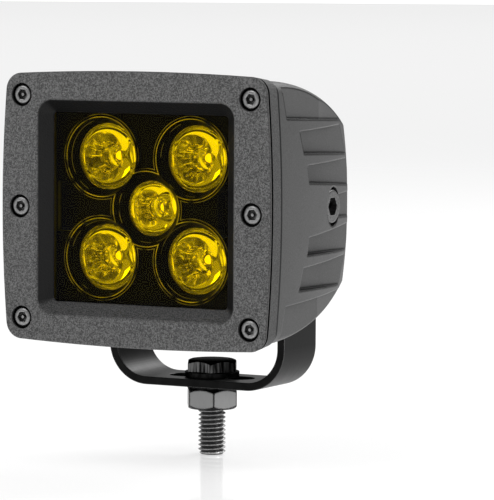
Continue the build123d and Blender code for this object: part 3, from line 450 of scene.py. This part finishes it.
# %% Tray with painted highlights on the rims
CORNER_CUP_SHARE = 0.196
CENTRE_CUP_SHARE = 0.185
SKIRT = 1.5 * MM
GLINT_DEPTH = 1.5 * MM
tray = Finish("glossy_black_tray", Specular_IOR_Level=0.02)
peel = tray.noise(320.0, 2.0)
across, deep, high = tray.place_axes()
half_width = (tray_high.x - tray_low.x) / 2
half_height = (tray_high.z - tray_low.z) / 2
tray_size = 2 * min(half_width, half_height)
clear_across = abs(across) < half_width - SKIRT
clear_up = abs(high - (tray_low.z + half_height)) < half_height - SKIRT
clear_of_skirt = clear_across * clear_up
gaps = []
for name in OPTICS:
    share = CENTRE_CUP_SHARE if name == "centre" else CORNER_CUP_SHARE
    cup = middle_of(*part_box("optic_" + name))
    gaps.append(tray.distance(across - cup.x, high - cup.z) - share * tray_size)
from_cup = gaps[0]
for gap in gaps[1:]:
    from_cup = from_cup.nearer(gap)
# Painted highlights along the cup rims.
inner_line = 1 - from_cup.smooth(0.10 * MM, 0.20 * MM)
outer_line = from_cup.smooth(0.74 * MM, 0.80 * MM) * 0.5
shimmer = tray.noise(260.0, 1.0).smooth(0.30, 0.60)
rim = (deep < tray_low.y + 0.10 * MM) * clear_of_skirt * (inner_line + outer_line) * shimmer
# Painted glints along a line inside each cup.
line = (1 - abs(deep - (tray_low.y + GLINT_DEPTH)).smooth(0.03 * MM, 0.10 * MM)) * (from_cup < 0.0)
glint = line * clear_of_skirt * tray.noise(190.0, 1.0).smooth(0.48, 0.62) * 0.6
painted_highlight = rim.either(glint)
body_colour = tray.blend(peel, grey(0.0005), grey(0.0015))
tray.feed(tray.shader.inputs["Base Color"], tray.blend(painted_highlight, body_colour, grey(0.60)))
tray.feed(tray.shader.inputs["Metallic"], painted_highlight * 0.9)
tray.feed(tray.shader.inputs["Roughness"], 0.38 + peel * 0.1 - painted_highlight * 0.3)
tray.relief(peel, 0.01 * MM, None, 0.05)
paint(tray, "optic_tray")

# %% [markdown]
# ## Boards, pads and rubber
# Most of these pieces sit inside the housing. They are rarely seen, but a part that is taken out of the
# lamp should still look like itself, so each has its own colour and gloss. One function makes them all,
# since they differ only in those numbers.


# %% Quiet finishes
def plain(name, dark, light, roughness, per_metre=1400.0, height=0.03, metallic=0.0):
    """A quiet moulded, rubber or board finish with its own grain."""
    made = Finish(name, Metallic=metallic)
    mottle = made.noise(per_metre, 3.0)
    drift = made.noise(per_metre / 20, 2.0)
    mixed_colour = made.blend(mottle, dark, light)
    made.feed(made.shader.inputs["Base Color"], mixed_colour)
    made.feed(made.shader.inputs["Roughness"], roughness + drift * 0.12)
    made.relief(mottle, height * MM, made.soft_edge(0.15 * MM), 0.5)
    return made


paint(plain("black_rubber", grey(0.012), grey(0.024), 0.7), "lens_gasket", "gland_seal")
paint(plain("gland_nylon", grey(0.016), grey(0.030), 0.45), "cable_gland")
paint(plain("white_board", (0.42, 0.42, 0.38, 1), (0.55, 0.55, 0.50, 1), 0.4), "led_board")
paint(plain("green_board", (0.01, 0.08, 0.03, 1), (0.02, 0.14, 0.06, 1), 0.3), "driver_board")
pad_grey = plain("thermal_pad_grey", (0.30, 0.32, 0.36, 1), (0.40, 0.42, 0.46, 1), 0.8)
paint(pad_grey, "thermal_pad", "driver_pad")
paint(plain("ferrite", grey(0.03), grey(0.06), 0.6), "driver_inductor")
paint(plain("capacitor_can", grey(0.55), grey(0.65), 0.25, metallic=1.0), "driver_capacitor")
paint(plain("chip_epoxy", grey(0.02), grey(0.035), 0.5), "driver_chip")


# %% [markdown]
# ## Mesh helpers
# Small parts are turned or milled shapes, so three helpers cover them. One turns mesh data into an
# object, one spins a profile about an axis, with rings that may be lobed or six-sided, and one cuts one
# closed mesh with another. The same shapes could be modelled by hand, but profiles stay easy to change.

# %% Lathe and cutter
FACE_FORWARD = Matrix.Rotation(math.radians(90), 4, "X")


def as_object(name, mesh_data, finish, smooth_angle=35.0):
    """An object in the scene, smooth except at edges sharper than the angle."""
    mesh = bpy.data.meshes.new(name)
    mesh_data.to_mesh(mesh)
    mesh_data.free()
    made = bpy.data.objects.new(name, mesh)
    bpy.context.scene.collection.objects.link(made)
    made.data.materials.append(finish.material)
    for face in mesh.polygons:
        face.use_smooth = True
    mesh.set_sharp_from_angle(angle=math.radians(smooth_angle))
    return made


def lobed(count):
    """Ring shape with this many soft lobes."""
    return lambda turn: 1 + math.cos(count * turn)


def hexagonal(turn):
    """Ring shape that a depth of 1 makes a true hexagon."""
    return math.cos(math.pi / 6) / math.cos(turn % (math.pi / 3) - math.pi / 6)


def spin(profile, steps=64, shape=hexagonal):
    """Closed bmesh of (radius, height, shape depth) rings about Z; first and last radius are 0."""
    data = bmesh.new()
    rings = []
    for radius, height, wave in profile:
        if radius == 0:
            rings.append([data.verts.new((0, 0, height))])
            continue
        ring = []
        for step in range(steps):
            turn = 2 * math.pi * step / steps
            here = radius * (1 - wave + wave * shape(turn))
            ring.append(data.verts.new((here * math.cos(turn), here * math.sin(turn), height)))
        rings.append(ring)
    for low, high in zip(rings, rings[1:]):
        for step in range(steps):
            after = (step + 1) % steps
            if len(low) == 1:
                data.faces.new((low[0], high[after], high[step]))
            elif len(high) == 1:
                data.faces.new((low[step], low[after], high[0]))
            else:
                data.faces.new((low[step], low[after], high[after], high[step]))
    bmesh.ops.recalc_face_normals(data, faces=data.faces)
    return data


def combine(target, cutter, operation):
    """Cuts target with cutter, and removes cutter."""
    cut = target.modifiers.new("cut", "BOOLEAN")
    cut.operation = operation
    cut.solver = "EXACT"
    cut.object = cutter
    bpy.context.view_layer.update()
    shaped = bpy.data.meshes.new_from_object(target.evaluated_get(bpy.context.evaluated_depsgraph_get()))
    target.modifiers.clear()
    target.data = shaped
    bpy.data.objects.remove(cutter)


# %% [markdown]
# ## The threaded bolt
# A rolled M8 thread is a V groove of 1.25 mm pitch wound round the shank. A bump in the material would
# leave a straight outline, so the mesh follows the helix itself and crest and root are true edges. Two
# turned shapes then trim it: the shank loses its corner at the tip, and the head gets the chamfer that
# leaves arcs on its six flats.

# %% Thread wound along its helix
STUD_R = 4.0 * MM
PITCH = 1.25 * MM
ROOT_R = 3.26 * MM
HEAD_R = 8.083 * MM
head_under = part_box("flat_washer")[1].z + 0.1 * MM


def thread(low, high, steps=48):
    """Closed helical solid; each turn carries root, flank, crest and flank."""
    turns = int((high - low) / PITCH) + 2
    start = low - PITCH
    profile = [(0.0, ROOT_R), (0.12, ROOT_R), (0.46, STUD_R), (0.62, STUD_R), (0.96, ROOT_R)]
    data = bmesh.new()
    rows = []
    for step in range(turns * steps + 1):
        turn = 2 * math.pi * step / steps
        lift = start + PITCH * step / steps
        rows.append([(r * math.cos(turn), r * math.sin(turn), lift + part * PITCH) for part, r in profile])
    made = {}

    def corner(point):
        key = tuple(round(v * 1e7) for v in point)
        if key not in made:
            made[key] = data.verts.new(point)
        return made[key]

    for step in range(turns * steps):
        here, after = rows[step], rows[step + 1]
        for part in range(len(profile) - 1):
            quad = (here[part], after[part], after[part + 1], here[part + 1])
            data.faces.new([corner(point) for point in quad])
        if step + steps <= turns * steps - 1:
            above, above_after = rows[step + steps], rows[step + steps + 1]
            quad = (here[-1], after[-1], above_after[0], above[0])
            data.faces.new([corner(point) for point in quad])
    first = [rows[step][0] for step in range(steps + 1)] + [rows[0][part] for part in range(4, 0, -1)]
    last = [rows[-1 - step][-1] for step in range(steps + 1)] + [rows[-1][part] for part in range(0, 4)]
    for loop, height in ((first, start - PITCH), (last, rows[-1][-1][2] + PITCH)):
        tip = data.verts.new((0, 0, height))
        ring = [corner(point) for point in loop]
        for one, two in zip(ring, ring[1:] + ring[:1]):
            if one is not two:
                data.faces.new((one, two, tip))
    bmesh.ops.recalc_face_normals(data, faces=data.faces)
    return data


shank = as_object("mounting_bolt_thread", thread(bolt_low.z, head_under), thread_steel, 30.0)
print("thread faces before trimming:", len(shank.data.polygons))

# %% Trim the shank and cap the tip
tip_profile = [
    (0, bolt_low.z, 0),
    (3.2 * MM, bolt_low.z, 0),
    (STUD_R + 0.01 * MM, bolt_low.z + 0.75 * MM, 0),
    (STUD_R + 0.01 * MM, head_under + 0.5 * MM, 0),
    (0, head_under + 0.5 * MM, 0),
]
trim = as_object("trim", spin(tip_profile, 96), thread_steel)
combine(shank, trim, "INTERSECT")
print("thread faces after trimming:", len(shank.data.polygons))


# %% Hexagon head with a turned chamfer
def hexagon_piece(name, low, high, turn_degrees, envelope, finish):
    """Hexagonal prism kept inside a turned envelope, with a modifier that just breaks its edges."""
    data = bmesh.new()
    turns = [math.radians(turn_degrees) + k * math.pi / 3 for k in range(6)]
    lower = [data.verts.new((HEAD_R * math.cos(t), HEAD_R * math.sin(t), low)) for t in turns]
    upper = [data.verts.new((HEAD_R * math.cos(t), HEAD_R * math.sin(t), high)) for t in turns]
    data.faces.new(list(reversed(lower)))
    data.faces.new(upper)
    for k in range(6):
        data.faces.new((lower[k], lower[(k + 1) % 6], upper[(k + 1) % 6], upper[k]))
    made = as_object(name, data, finish, 25.0)
    combine(made, as_object("envelope", spin(envelope, 96), finish), "INTERSECT")
    for polygon in made.data.polygons:
        polygon.use_smooth = True
    made.data.set_sharp_from_angle(angle=math.radians(25))
    broken = made.modifiers.new("broken_edges", "BEVEL")
    broken.width = 0.14 * MM
    broken.segments = 2
    broken.limit_method = "ANGLE"
    broken.angle_limit = math.radians(28)
    print(name, "faces:", len(made.data.polygons))
    return made


dome = [
    (0, head_under - 1 * MM, 0),
    (12 * MM, head_under - 1 * MM, 0),
    (12 * MM, head_under + 0.3 * MM, 0),
    (8.4 * MM, bolt_high.z - 1.30 * MM, 0),
    (7.5 * MM, bolt_high.z - 0.75 * MM, 0),
    (6.9 * MM, bolt_high.z - 0.28 * MM, 0),
    (6.3 * MM, bolt_high.z - 0.02 * MM, 0),
    (0, bolt_high.z - 0.02 * MM, 0),
]
head = hexagon_piece("mounting_bolt_head", head_under, bolt_high.z, -4.0, dome, bolt_steel)
for piece in (shank, head):
    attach(piece, "stud")
    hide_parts("mount_bolt")

# %% [markdown]
# ## The clamping nut
# The nut is chamfered on both faces, which leaves an arc at the top and bottom of each flat. Its bore
# is opened with a countersink so that the thread starts clean. The broken edges are taken off first, so
# the bore is cut from the chamfered prism alone. The chamfers and edges get painted shade.

# %% Nut
FACE_R = 6.75 * MM
CORNER_DROP = 1.0 * MM
double_cone = [
    (0, nut_low.z + 0.01 * MM, 0),
    (FACE_R, nut_low.z + 0.01 * MM, 0),
    (HEAD_R + 0.3 * MM, nut_low.z + CORNER_DROP * 1.2, 0),
    (HEAD_R + 0.3 * MM, nut_high.z - CORNER_DROP * 1.2, 0),
    (FACE_R, nut_high.z - 0.01 * MM, 0),
    (0, nut_high.z - 0.01 * MM, 0),
]
nut = hexagon_piece("clamping_nut", nut_low.z, nut_high.z, 2.0, double_cone, nut_steel)
bore = [
    (0, nut_low.z - 1 * MM, 0),
    (STUD_R + 1.6 * MM, nut_low.z - 1 * MM, 0),
    (STUD_R + 0.02 * MM, nut_low.z + 0.6 * MM, 0),
    (STUD_R + 0.02 * MM, nut_high.z - 0.6 * MM, 0),
    (STUD_R + 1.6 * MM, nut_high.z + 1 * MM, 0),
    (0, nut_high.z + 1 * MM, 0),
]
nut.modifiers.clear()
combine(nut, as_object("bore", spin(bore, 64), nut_steel), "DIFFERENCE")
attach(nut, "stud")
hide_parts("mount_nut")

# %% [markdown]
# ## Pin-in-hex screws
# The bezel is held by six tamper-proof button screws: a low domed head, a hexagon socket and a pin
# left standing in the middle of it. One head is spun from a profile whose socket rings are hexagons, then
# copied to six places measured from the CAD group. Each copy is turned a little, as a hand leaves it.

# %% One screw, six places
SCREW_R = 2.75
CORNER_INSET = 0.6
screw_profile = [
    (0, 5.0, 0),
    (1.5, 5.0, 0),
    (1.5, 1.8, 0),
    (2.72, 1.8, 0),
    (SCREW_R, 1.55, 0),
    (SCREW_R, 0.75, 0),
    (2.66, 0.42, 0),
    (2.45, 0.18, 0),
    (2.15, 0.05, 0),
    (1.75, 0.0, 0),
    (1.68, 0.03, 0.5),
    (1.62, 0.12, 1),
    (1.6, 1.25, 1),
    (0.7, 1.3, 0),
    (0.52, 1.2, 0),
    (0.52, 0.45, 0),
    (0.4, 0.3, 0),
    (0, 0.28, 0),
]
screw_rings = [(r * MM, -d * MM, wave) for r, d, wave in screw_profile]
mid_z = (screw_low.z + screw_high.z) / 2
half_x = (screw_high.x - screw_low.x) / 2 - SCREW_R * MM
half_z = (screw_high.z - screw_low.z) / 2 - SCREW_R * MM
corner_x = half_x - CORNER_INSET * MM
screw_places = [(side * corner_x, level * half_z) for side in (-1, 1) for level in (-1, 1)]
screw_places += [(-half_x, 0), (half_x, 0)]
joined = bmesh.new()
for x, z in screw_places:
    one = spin(screw_rings, 72)
    turn = Matrix.Rotation(random.uniform(-0.4, 0.4) + 0.2, 4, "Z")
    lay = Matrix.Translation((x, screw_low.y, mid_z + z)) @ FACE_FORWARD @ turn
    bmesh.ops.transform(one, matrix=lay, verts=one.verts)
    scratch = bpy.data.meshes.new("scratch")
    one.to_mesh(scratch)
    one.free()
    joined.from_mesh(scratch)
    bpy.data.meshes.remove(scratch)
screws = as_object("bezel_screw_set", joined, screw_steel, 40.0)
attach(screws, "lamp")
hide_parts("bezel_screws")
print("screws at", [(round(x / MM, 1), round(z / MM, 1)) for x, z in screw_places])

# %% [markdown]
# ## Moulded optics
# Each LED sits under a clear collimator. Its curved outside wall turns light by total reflection, so
# from the front the wall shines like a golden bowl with moulded flutes. The clear front has a well
# with a small convex lens at its floor. The bowl and the clear body are separate pieces here, because
# a mirror is a steadier stand-in for total reflection than many refracted paths.

# %% Clear plastic
clear = Finish("clear_optic", Transmission_Weight=1.0, IOR=1.46, Roughness=0.01)
swirl = clear.noise(260.0, 2.0)
clear.feed(clear.shader.inputs["Base Color"], clear.blend(swirl, (0.97, 0.98, 0.97, 1), (1, 1, 1, 1)))
clear.relief(swirl, 0.02 * MM, None, 0.25)
print("clear plastic with a faint moulded swirl")

# %% Wall with painted reflection and glow
wall = Finish("total_reflection_wall", Metallic=1.0)
glow = wall.noise(420.0, 3.0)
fleck = wall.noise(2400.0, 1.0)
front_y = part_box("optic_centre")[0].y
deep_in = (wall.axis(wall.place(), 1) - (front_y + 0.8 * MM)).smooth(0.0, 3.8 * MM)
# Painted reflection: the gold and olive colour with bright and dark patches stands in for the LED light that
# the clear wall turns by total reflection.
gold = wall.blend(glow.smooth(0.36, 0.60), (0.14, 0.13, 0.03, 1), (1.0, 0.95, 0.45, 1))
olive = wall.blend(glow, (0.10, 0.10, 0.03, 1), (0.42, 0.40, 0.14, 1))
reflection_and_glow_colour = wall.blend(deep_in, olive, gold)
wall.feed(wall.shader.inputs["Base Color"], reflection_and_glow_colour)
wall.feed(wall.shader.inputs["Roughness"], 0.03 + glow * 0.09)
# Painted glow: a faint emission in the same colour.
wall.feed(wall.shader.inputs["Emission Color"], reflection_and_glow_colour)
wall.shader.inputs["Emission Strength"].default_value = 0.05
wall.relief(glow * 0.8 + fleck * 0.2, 0.18 * MM, None, 0.5)
print("wall turns from olive to gold behind y =", round(front_y / MM + 0.8, 2), "mm")

# %% Phosphor on the LEDs
phosphor = Finish("led_phosphor", Emission_Strength=1.3)
dots = phosphor.noise(4200.0, 2.0)
phosphor_colour = phosphor.blend(dots, (0.95, 0.72, 0.10, 1), (1.0, 0.86, 0.22, 1))
phosphor.feed(phosphor.shader.inputs["Base Color"], phosphor_colour)
phosphor.feed(phosphor.shader.inputs["Emission Color"], phosphor_colour)
phosphor.feed(phosphor.shader.inputs["Roughness"], 0.3 + dots * 0.2)
paint(phosphor, *["led_" + name for name in OPTICS])


# %% Bowl and clear body profiles
def arc(start, middle, end, count):
    """Points on a smooth curve through three (radius, height) points."""
    points = []
    for step in range(count + 1):
        t = step / count
        a, b, c = 2 * (t - 0.5) * (t - 1), 4 * t * (1 - t), 2 * t * (t - 0.5)
        points.append(tuple(a * start[k] + b * middle[k] + c * end[k] for k in range(2)))
    return points


def bowl(radius, tall):
    """Thin fluted shell: inside from the rim to the foot, then back up the outside."""
    inside = arc((radius - 0.45, 0.9), (0.5 * (radius + 2.6) + 1.1, tall * 0.55), (2.7, tall - 0.2), 18)
    outside = arc((2.9, tall), (0.5 * (radius + 3.4) + 1.2, tall * 0.6), (radius - 0.1, 0.9), 18)
    rings = [(0, tall - 0.9, 0), (1.9, tall - 0.9, 0), (2.3, tall - 0.5, 0.01)]
    for k, (r, h) in enumerate(reversed(inside)):
        rings.append((r, h, 0.12 * math.sin(math.pi * min(1.0, (k + 3) / 18))))
    rings += [(radius - 0.3, 0.75, 0), (radius - 0.1, 0.8, 0)]
    rings += [(r, h, 0) for r, h in reversed(outside)]
    rings += [(0, tall, 0)]
    return [(r * MM, -h * MM, wave) for r, h, wave in rings]


def clear_body(radius, tall):
    """Front flange, central well and its lens, closed at the back just inside the bowl."""
    well = 0.40 * radius
    rings = [(0, 2.2, 0), (0.35 * well, 2.3, 0), (0.7 * well, 2.7, 0), (0.95 * well, 3.3, 0)]
    rings += [(1.02 * well, 3.3, 0), (1.10 * well, 0.25, 0), (1.16 * well, 0.0, 0)]
    rings += [(radius - 0.25, 0.0, 0), (radius, 0.25, 0), (radius, 0.7, 0), (radius - 0.5, 0.75, 0)]
    side = arc((radius - 0.5, 1.0), (0.5 * (radius + 2.6) + 0.8, tall * 0.5), (2.9, tall - 1.2), 10)
    rings += [(r - 0.3, h, 0) for r, h in side]
    rings += [(2.3, tall - 1.6, 0), (1.6, tall - 2.3, 0), (0.8, tall - 2.7, 0), (0, tall - 2.8, 0)]
    return [(r * MM, -h * MM, wave) for r, h, wave in rings]


# %% Five optics
FLUTES = 10
for name in OPTICS:
    low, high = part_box("optic_" + name)
    radius = (high.x - low.x) / 2 / MM
    tall = (high.y - low.y) / MM
    middle = ((low.x + high.x) / 2, low.y, (low.z + high.z) / 2)
    spun = random.uniform(0, 2 * math.pi / FLUTES)
    lay = Matrix.Translation(middle) @ FACE_FORWARD @ Matrix.Rotation(spun, 4, "Z")
    bowl_shape = spin(bowl(radius, tall), 120, lobed(FLUTES))
    body_shape = spin(clear_body(radius, tall), 96)
    parts = [("wall_", bowl_shape, wall), ("collimator_", body_shape, clear)]
    for prefix, shape, finish in parts:
        bmesh.ops.transform(shape, matrix=lay, verts=shape.verts)
        optic = as_object(prefix + name, shape, finish, 50.0)
        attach(optic, "lamp")
        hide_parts("optic_" + name)
    print(name, "radius", round(radius, 2), "mm, height", round(tall, 2), "mm")

# %% [markdown]
# ## Camera
# A long lens from the front right and a little above. A wide lens up close would make the near corner
# swell, so this one stands about a metre off. It is turned towards the lamp rather than shifted, so the
# same camera serves every other angle.

# %% Place the camera
AZIMUTH, ELEVATION, ROLL = [math.radians(angle) for angle in (27.8073, 4.3382, 0.3268)]
CAMERA_PLACE = Vector((0.47045, -0.87057, 0.12159))
LENS_MM = 244.154
back = Vector(
    (
        math.sin(AZIMUTH) * math.cos(ELEVATION),
        -math.cos(AZIMUTH) * math.cos(ELEVATION),
        math.sin(ELEVATION),
    )
)
right = Vector((math.cos(AZIMUTH), math.sin(AZIMUTH), 0))
up = back.cross(right)
turned_right = right * math.cos(ROLL) + up * math.sin(ROLL)
turned_up = up * math.cos(ROLL) - right * math.sin(ROLL)
camera_data = bpy.data.cameras.new("camera")
camera_data.lens = LENS_MM
camera_data.sensor_width = 36.0
camera = bpy.data.objects.new("camera", camera_data)
bpy.context.scene.collection.objects.link(camera)
pose = Matrix((turned_right, turned_up, back)).transposed().to_4x4()
pose.translation = CAMERA_PLACE
camera.matrix_world = pose
bpy.context.scene.camera = camera
print("camera lens", camera_data.lens)

# %% [markdown]
# ## Floor and light
# A pale, glossy floor sits at the tip of the bolt and runs far out behind it. It is a light table that
# glows a little from below. Soft boxes in front, at the side and behind shape the dull coat. The room
# gives less than half the light of the white sheet seen behind the lamp, so black parts stay black.

# %% Floor
FLOOR_HALF_WIDTH = 40.0
floor_mesh = bmesh.new()
bmesh.ops.create_grid(floor_mesh, x_segments=8, y_segments=8, size=FLOOR_HALF_WIDTH)
floor_finish = Finish("pale_floor", Specular_IOR_Level=0.75, Emission_Color=grey(1.0), Emission_Strength=0.47)
dust = floor_finish.noise(40.0, 2.0)
floor_finish.feed(floor_finish.shader.inputs["Base Color"], floor_finish.blend(dust, grey(0.93), grey(0.95)))
floor_finish.feed(floor_finish.shader.inputs["Roughness"], 0.05 + dust * 0.02)
floor = as_object("floor", floor_mesh, floor_finish)
floor.location = (0, 0, bolt_low.z - 0.05 * MM)
print("floor at", round(floor.location.z / MM, 2), "mm")


# %% Soft boxes
def soft_box(name, place, aim, width, height, power):
    """A rectangular lamp at one place that looks at another."""
    data = bpy.data.lights.new(name, "AREA")
    data.shape = "RECTANGLE"
    data.size = width
    data.size_y = height
    data.energy = power
    lamp = bpy.data.objects.new(name, data)
    bpy.context.scene.collection.objects.link(lamp)
    lamp.location = place
    lamp.rotation_euler = (Vector(aim) - Vector(place)).to_track_quat("-Z", "Y").to_euler()
    print(name, power, "W")


LAMP_MIDDLE = (0, 0, 0.05)
soft_box("key_box", (-0.5, -1.0, 1.1), LAMP_MIDDLE, 0.9, 0.9, 7.0)
soft_box("side_box", (1.3, -0.2, 0.35), LAMP_MIDDLE, 0.5, 1.0, 4.0)
soft_box("back_box", (0.3, 1.0, 0.9), LAMP_MIDDLE, 1.2, 0.6, 8.0)

# %% Room and white sheet
ROOM_LIGHT = 0.42
SHEET_LIGHT = 1.1
world = bpy.data.worlds.new("studio")
world.use_nodes = True
sky = world.node_tree
room = sky.nodes["Background"]
sheet = sky.nodes.new("ShaderNodeBackground")
for backdrop, strength in ((room, ROOM_LIGHT), (sheet, SHEET_LIGHT)):
    backdrop.inputs["Color"].default_value = grey(1.0)
    backdrop.inputs["Strength"].default_value = strength
seen = sky.nodes.new("ShaderNodeLightPath")
chosen = sky.nodes.new("ShaderNodeMixShader")
sky.links.new(seen.outputs["Is Camera Ray"], chosen.inputs[0])
sky.links.new(room.outputs[0], chosen.inputs[1])
sky.links.new(sheet.outputs[0], chosen.inputs[2])
sky.links.new(chosen.outputs[0], sky.nodes["World Output"].inputs["Surface"])
bpy.context.scene.world = world
bpy.context.scene.view_settings.view_transform = "Standard"
print("room", ROOM_LIGHT, "sheet", SHEET_LIGHT)
